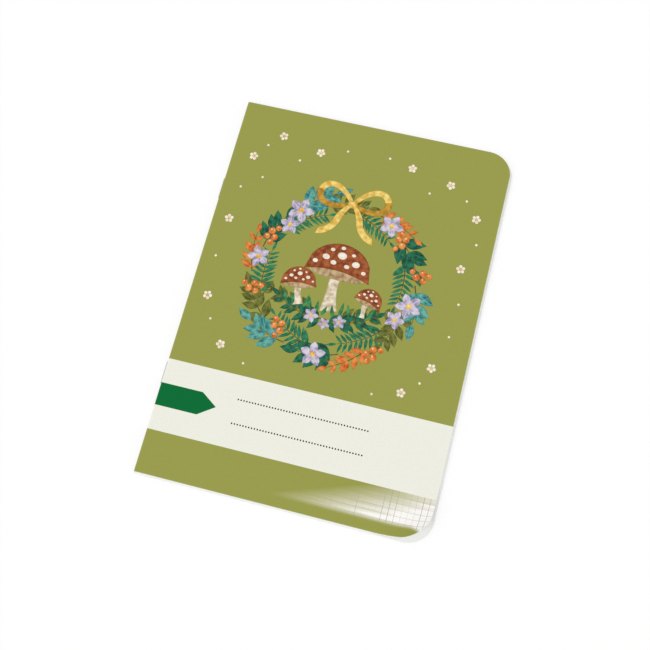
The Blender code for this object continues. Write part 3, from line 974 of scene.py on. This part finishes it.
def bowLoop(side):  # a drop that leaves the knot and comes back to it
    plan = bowPlan
    tilt, opening = math.radians(plan["loopTilt"]), plan["loopOpening"]
    places = []
    for step in range(plan["loopSteps"] + 1):
        u = math.pi * (opening + (2 - 2 * opening) * step / plan["loopSteps"])
        along = plan["loopLength"] * (1 - math.cos(u)) / 2
        aside = plan["loopWidth"] * math.sin(u) * math.sin(u / 2)
        x = side * (along * math.cos(tilt) - aside * math.sin(tilt))
        y = along * math.sin(tilt) + aside * math.cos(tilt)
        places.append((plan["place"][0] + x, plan["place"][1] + y))
    points = []
    for number, (x, y) in enumerate(places):
        before, after = places[max(number - 1, 0)], places[min(number + 1, len(places) - 1)]
        points.append((x, y, math.degrees(math.atan2(after[1] - before[1], after[0] - before[0]))))
    widths = []
    for step in range(plan["loopSteps"] + 1):
        swell = math.sin(math.pi * step / plan["loopSteps"]) ** plan["swell"]
        widths.append(plan["ribbon"] * (plan["pinched"] + (1 - plan["pinched"]) * swell))
    return points, widths


def bowTail(side):
    plan = bowPlan
    tail = [(*plan["place"], -90 + side * plan["tailSpread"])]
    for curl in plan["tailCurls"]:
        x, y, turn = tail[-1]
        tail += alongPath((x, y), turn, plan["tailLength"] / 2, side * curl, plan["tailSteps"])[1:]
    x, y, turn = tail[-1]
    tail[-1] = (x, y, turn + side * plan["tailCut"])
    shares = [min(1, plan["tailStart"] + plan["tailWidens"] * number) for number in range(len(tail))]
    return tail, [plan["ribbon"] * share for share in shares]


for side in (-1, 1):
    points, widths = bowLoop(side)
    half = len(points) // 2 + 1
    drawn["ribbon"].append(inkStrip("loopFront", onCover(points[:half], widths[:half])))
    drawn["ribbonBacks"].append(inkStrip("loopBack", onCover(points[half - 1:], widths[half - 1:])))
    drawn["ribbon"].append(inkStrip("tail", onCover(*bowTail(side))))
placed["knot"].append((*bowPlan["place"], 0, *bowPlan["knot"]))
print("bow drawn")

for number, (name, (colour, deep, light, form, outline)) in enumerate(films.items(), 1):
    if outline:
        placedCopies(name, outline)
    ink = makeMaterial("gouache print " + colour, gouacheInk, deep, light, form)
    inkFilm(name, drawn[name], number * inkPlan["filmStep"], ink)
print("picture printed")

studio = {
    "cameraPlace": (62.03 * mm, -153.54 * mm, 506.20 * mm),
    "cameraAim": (-1.05 * mm, -9.12 * mm, 2.88 * mm),
    "cameraRoll": -9.511,  # degrees
    "lens": 57.16, "sensor": 36, "clip": (0.01, 20),
    "lampFrom": (-0.45, -0.7, 0.85), "lampSpread": 35,  # degrees across
    "lampStrength": 0.87,
    "surround": 0.8,
    "floorSize": 6,
    "floorGlow": 0.7,  # share of the floor's seen white that no shadow reaches
}
camera = startPiece("camera", bpy.ops.object.camera_add, location=studio["cameraPlace"])
look = Vector(studio["cameraAim"]) - Vector(studio["cameraPlace"])
camera.rotation_mode = "QUATERNION"
roll = Quaternion((0, 0, 1), math.radians(studio["cameraRoll"]))
camera.rotation_quaternion = look.to_track_quat("-Z", "Y") @ roll
camera.data.lens = studio["lens"]
camera.data.sensor_width = studio["sensor"]
camera.data.clip_start, camera.data.clip_end = studio["clip"]
bpy.context.scene.camera = camera


def seenDirectly(tree):  # 1 for what the camera, a reflection or a clear body sees, 0 for light that falls
    path = addNode(tree, "LightPath", (), None)
    seen = addNode(tree, "Math", (
        path.outputs["Is Camera Ray"], path.outputs["Is Glossy Ray"],
    ), operation="MAXIMUM")
    return addNode(tree, "Math", (seen, path.outputs["Is Transmission Ray"]), operation="MAXIMUM")


floor = startPiece("floor", bpy.ops.mesh.primitive_plane_add, size=studio["floorSize"])
floorPaper, tree = startMaterial("white backdrop paper")
matt = addNode(tree, "BsdfDiffuse", {"Color": tint("#FFFFFF")})
glow = addNode(tree, "Emission", {"Color": tint("#FFFFFF"), "Strength": 1.0})
share = addNode(tree, "Math", (seenDirectly(tree), studio["floorGlow"]), operation="MULTIPLY")
mixed = addNode(tree, "MixShader", (share, matt, glow))
addNode(tree, "OutputMaterial", {"Surface": mixed}, None)
floor.data.materials.append(floorPaper)

world = bpy.data.worlds.new("studio")
bpy.context.scene.world = world
world.use_nodes = True
tree = world.node_tree
tree.nodes.clear()
strength = addNode(tree, "MapRange", {0: seenDirectly(tree), 3: studio["surround"], 4: 1.0})
sky = addNode(tree, "Background", {"Color": tint("#FFFFFF"), "Strength": strength})
addNode(tree, "OutputWorld", {"Surface": sky}, None)

lamp = startPiece("wide soft lamp", bpy.ops.object.light_add, type="SUN", location=studio["lampFrom"])
lamp.data.angle = math.radians(studio["lampSpread"])
lamp.data.energy = studio["lampStrength"]
lamp.rotation_mode = "QUATERNION"
lamp.rotation_quaternion = (-lamp.location).to_track_quat("-Z", "Y")
bpy.context.scene.view_settings.view_transform = "Standard"
print("studio set")
